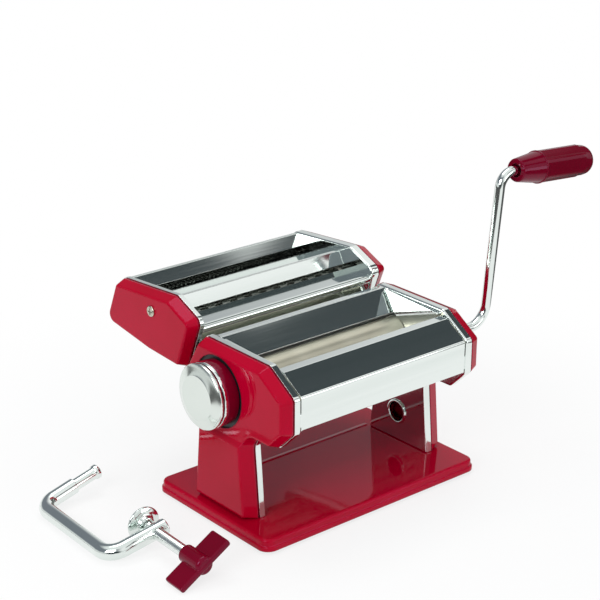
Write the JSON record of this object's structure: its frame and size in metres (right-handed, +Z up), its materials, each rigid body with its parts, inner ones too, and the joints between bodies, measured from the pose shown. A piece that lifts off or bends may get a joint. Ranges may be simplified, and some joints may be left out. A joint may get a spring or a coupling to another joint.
{
  "type": "pasta machine",
  "caption": "Hand-cranked pasta machine with smooth rollers, thickness knob, clip-on noodle cutter, removable crank and a loose table clamp.",
  "frame": {"origin": "on the table under the centre of the base, in the plane of the feet", "axes": "+X along the rollers towards the crank, the front cover faces -Y, +Z up"},
  "size_m": [0.4496, 0.2132, 0.2343],
  "materials": {
    "red_paint": "gloss",
    "rubber": "matte",
    "zinc_steel": "satin",
    "chrome": "polished",
    "roller_metal": "satin",
    "cutter_steel": "satin",
    "nylon": "satin",
    "red_plastic": "gloss",
    "spring_steel": "satin"
  },
  "bodies": {
    "machine_body": {"base_plate": "red_paint", "rubber_feet": "rubber", "base_screws": "zinc_steel", "base_nuts": "zinc_steel", "left_side_plate": "chrome", "right_side_plate": "chrome", "left_end_cover": "red_paint", "right_end_cover": "red_paint", "cover_screws": "zinc_steel", "front_cover": "chrome", "hopper_plate": "chrome", "feed_guides": "chrome", "roller_scrapers": "zinc_steel", "tie_rods": "zinc_steel", "tie_rod_nuts": "zinc_steel", "clamp_sockets": "chrome", "front_roller_bushes": "nylon", "adjuster_bearing": "nylon", "index_plate": "zinc_steel"},
    "front_roller_group": {"front_roller": "roller_metal", "front_roller_gear": "nylon"},
    "crank": {"crank_arm": "chrome"},
    "grip": {"crank_grip": "red_plastic"},
    "roller_carriage": {"left_carriage": "nylon", "right_carriage": "nylon", "carriage_bar": "zinc_steel"},
    "rear_roller_group": {"rear_roller": "roller_metal", "rear_roller_gear": "nylon"},
    "adjuster": {"adjuster_shaft": "zinc_steel", "knob_retainer": "zinc_steel", "knob_spring": "spring_steel"},
    "knob": {"knob_body": "red_plastic", "knob_ring": "chrome", "knob_cap": "chrome", "stop_pin": "zinc_steel"},
    "cutter_unit": {"cutter_left_plate": "chrome", "cutter_right_plate": "chrome", "cutter_left_cap": "red_paint", "cutter_right_cap": "red_paint", "cap_screws": "zinc_steel", "cutter_rear_plate": "chrome", "cutter_roof_plate": "chrome", "cutter_front_plate": "chrome", "cutter_rods": "zinc_steel", "cutter_bushes": "nylon", "cutter_hangers": "zinc_steel", "wide_combs": "nylon", "narrow_combs": "nylon"},
    "wide_front": {"wide_cutter_front": "cutter_steel", "wide_gear_front": "cutter_steel"},
    "wide_rear": {"wide_cutter_rear": "cutter_steel", "wide_gear_rear": "cutter_steel"},
    "narrow_front": {"narrow_cutter_front": "cutter_steel", "narrow_gear_front": "cutter_steel"},
    "narrow_rear": {"narrow_cutter_rear": "cutter_steel", "narrow_gear_rear": "cutter_steel"},
    "clamp_frame": {"clamp_bar": "chrome"},
    "clamp_jaw": {"clamp_pad": "chrome"},
    "clamp_spindle": {"clamp_screw": "chrome", "clamp_wing_knob": "red_plastic"}
  },
  "joints": [
    {"name": "front_roller_spin", "type": "hinge", "parent": "machine_body", "child": "front_roller_group", "pos_m": [0, -0.0281, 0.1025], "axis": [1, 0, 0], "continuous": true},
    {"name": "crank_pull", "type": "slide", "parent": "front_roller_group", "child": "crank", "axis": [1, 0, 0], "range_m": [0, 0.03]},
    {"name": "grip_spin", "type": "hinge", "parent": "crank", "child": "grip", "pos_m": [0.16911, -0.03105, 0.22309], "axis": [0.9972, 0.0018, -0.075], "continuous": true},
    {"name": "carriage_slide", "type": "slide", "parent": "machine_body", "child": "roller_carriage", "axis": [0, 1, 0], "range_m": [0, 0.0018]},
    {"name": "rear_roller_spin", "type": "hinge", "parent": "roller_carriage", "child": "rear_roller_group", "pos_m": [0, 0, 0.1025], "axis": [1, 0, 0], "continuous": true},
    {"name": "adjuster_turn", "type": "hinge", "parent": "machine_body", "child": "adjuster", "pos_m": [-0.095, 0.0009, 0.1025], "axis": [1, 0, 0], "range_deg": [0, 180]},
    {"name": "knob_pull", "type": "slide", "parent": "adjuster", "child": "knob", "axis": [-1, 0, 0], "range_m": [0, 0.004], "stiffness_N_per_m": 1200, "springref_m": -0.002, "deforming": ["knob_spring"]},
    {"name": "cutter_lift", "type": "slide", "parent": "machine_body", "child": "cutter_unit", "axis": [0, 0, 1], "range_m": [0, 0.06]},
    {"name": "wide_front_spin", "type": "hinge", "parent": "cutter_unit", "child": "wide_front", "pos_m": [0, 0.05418, 0.126], "axis": [1, 0, 0], "continuous": true},
    {"name": "wide_rear_spin", "type": "hinge", "parent": "cutter_unit", "child": "wide_rear", "pos_m": [0, 0.07383, 0.126], "axis": [1, 0, 0], "continuous": true},
    {"name": "narrow_front_spin", "type": "hinge", "parent": "cutter_unit", "child": "narrow_front", "pos_m": [0, 0.10378, 0.126], "axis": [1, 0, 0], "continuous": true},
    {"name": "narrow_rear_spin", "type": "hinge", "parent": "cutter_unit", "child": "narrow_rear", "pos_m": [0, 0.12343, 0.126], "axis": [1, 0, 0], "continuous": true},
    {"name": "clamp_lift", "type": "slide", "parent": "machine_body", "child": "clamp_frame", "axis": [0, 0, 1], "range_m": [0, 0.06]},
    {"name": "clamp_jaw_travel", "type": "slide", "parent": "clamp_frame", "child": "clamp_jaw", "axis": [0.0349, 0.9994, 0], "range_m": [-0.003, 0.031]},
    {"name": "clamp_screw_turn", "type": "hinge", "parent": "clamp_jaw", "child": "clamp_spindle", "pos_m": [-0.15731, -0.00318, 0.01414], "axis": [0.0349, 0.9994, 0], "range_deg": [-865, 8929]}
  ],
  "couplings": [
    {"joint": "rear_roller_spin", "follows": "front_roller_spin", "ratio": -1},
    {"joint": "carriage_slide", "follows": "adjuster_turn", "m_per_rad": 0.00057296},
    {"joint": "wide_rear_spin", "follows": "wide_front_spin", "ratio": -1},
    {"joint": "narrow_rear_spin", "follows": "narrow_front_spin", "ratio": -1},
    {"joint": "clamp_screw_turn", "follows": "clamp_jaw_travel", "rad_per_m": 5026.5}
  ]
}
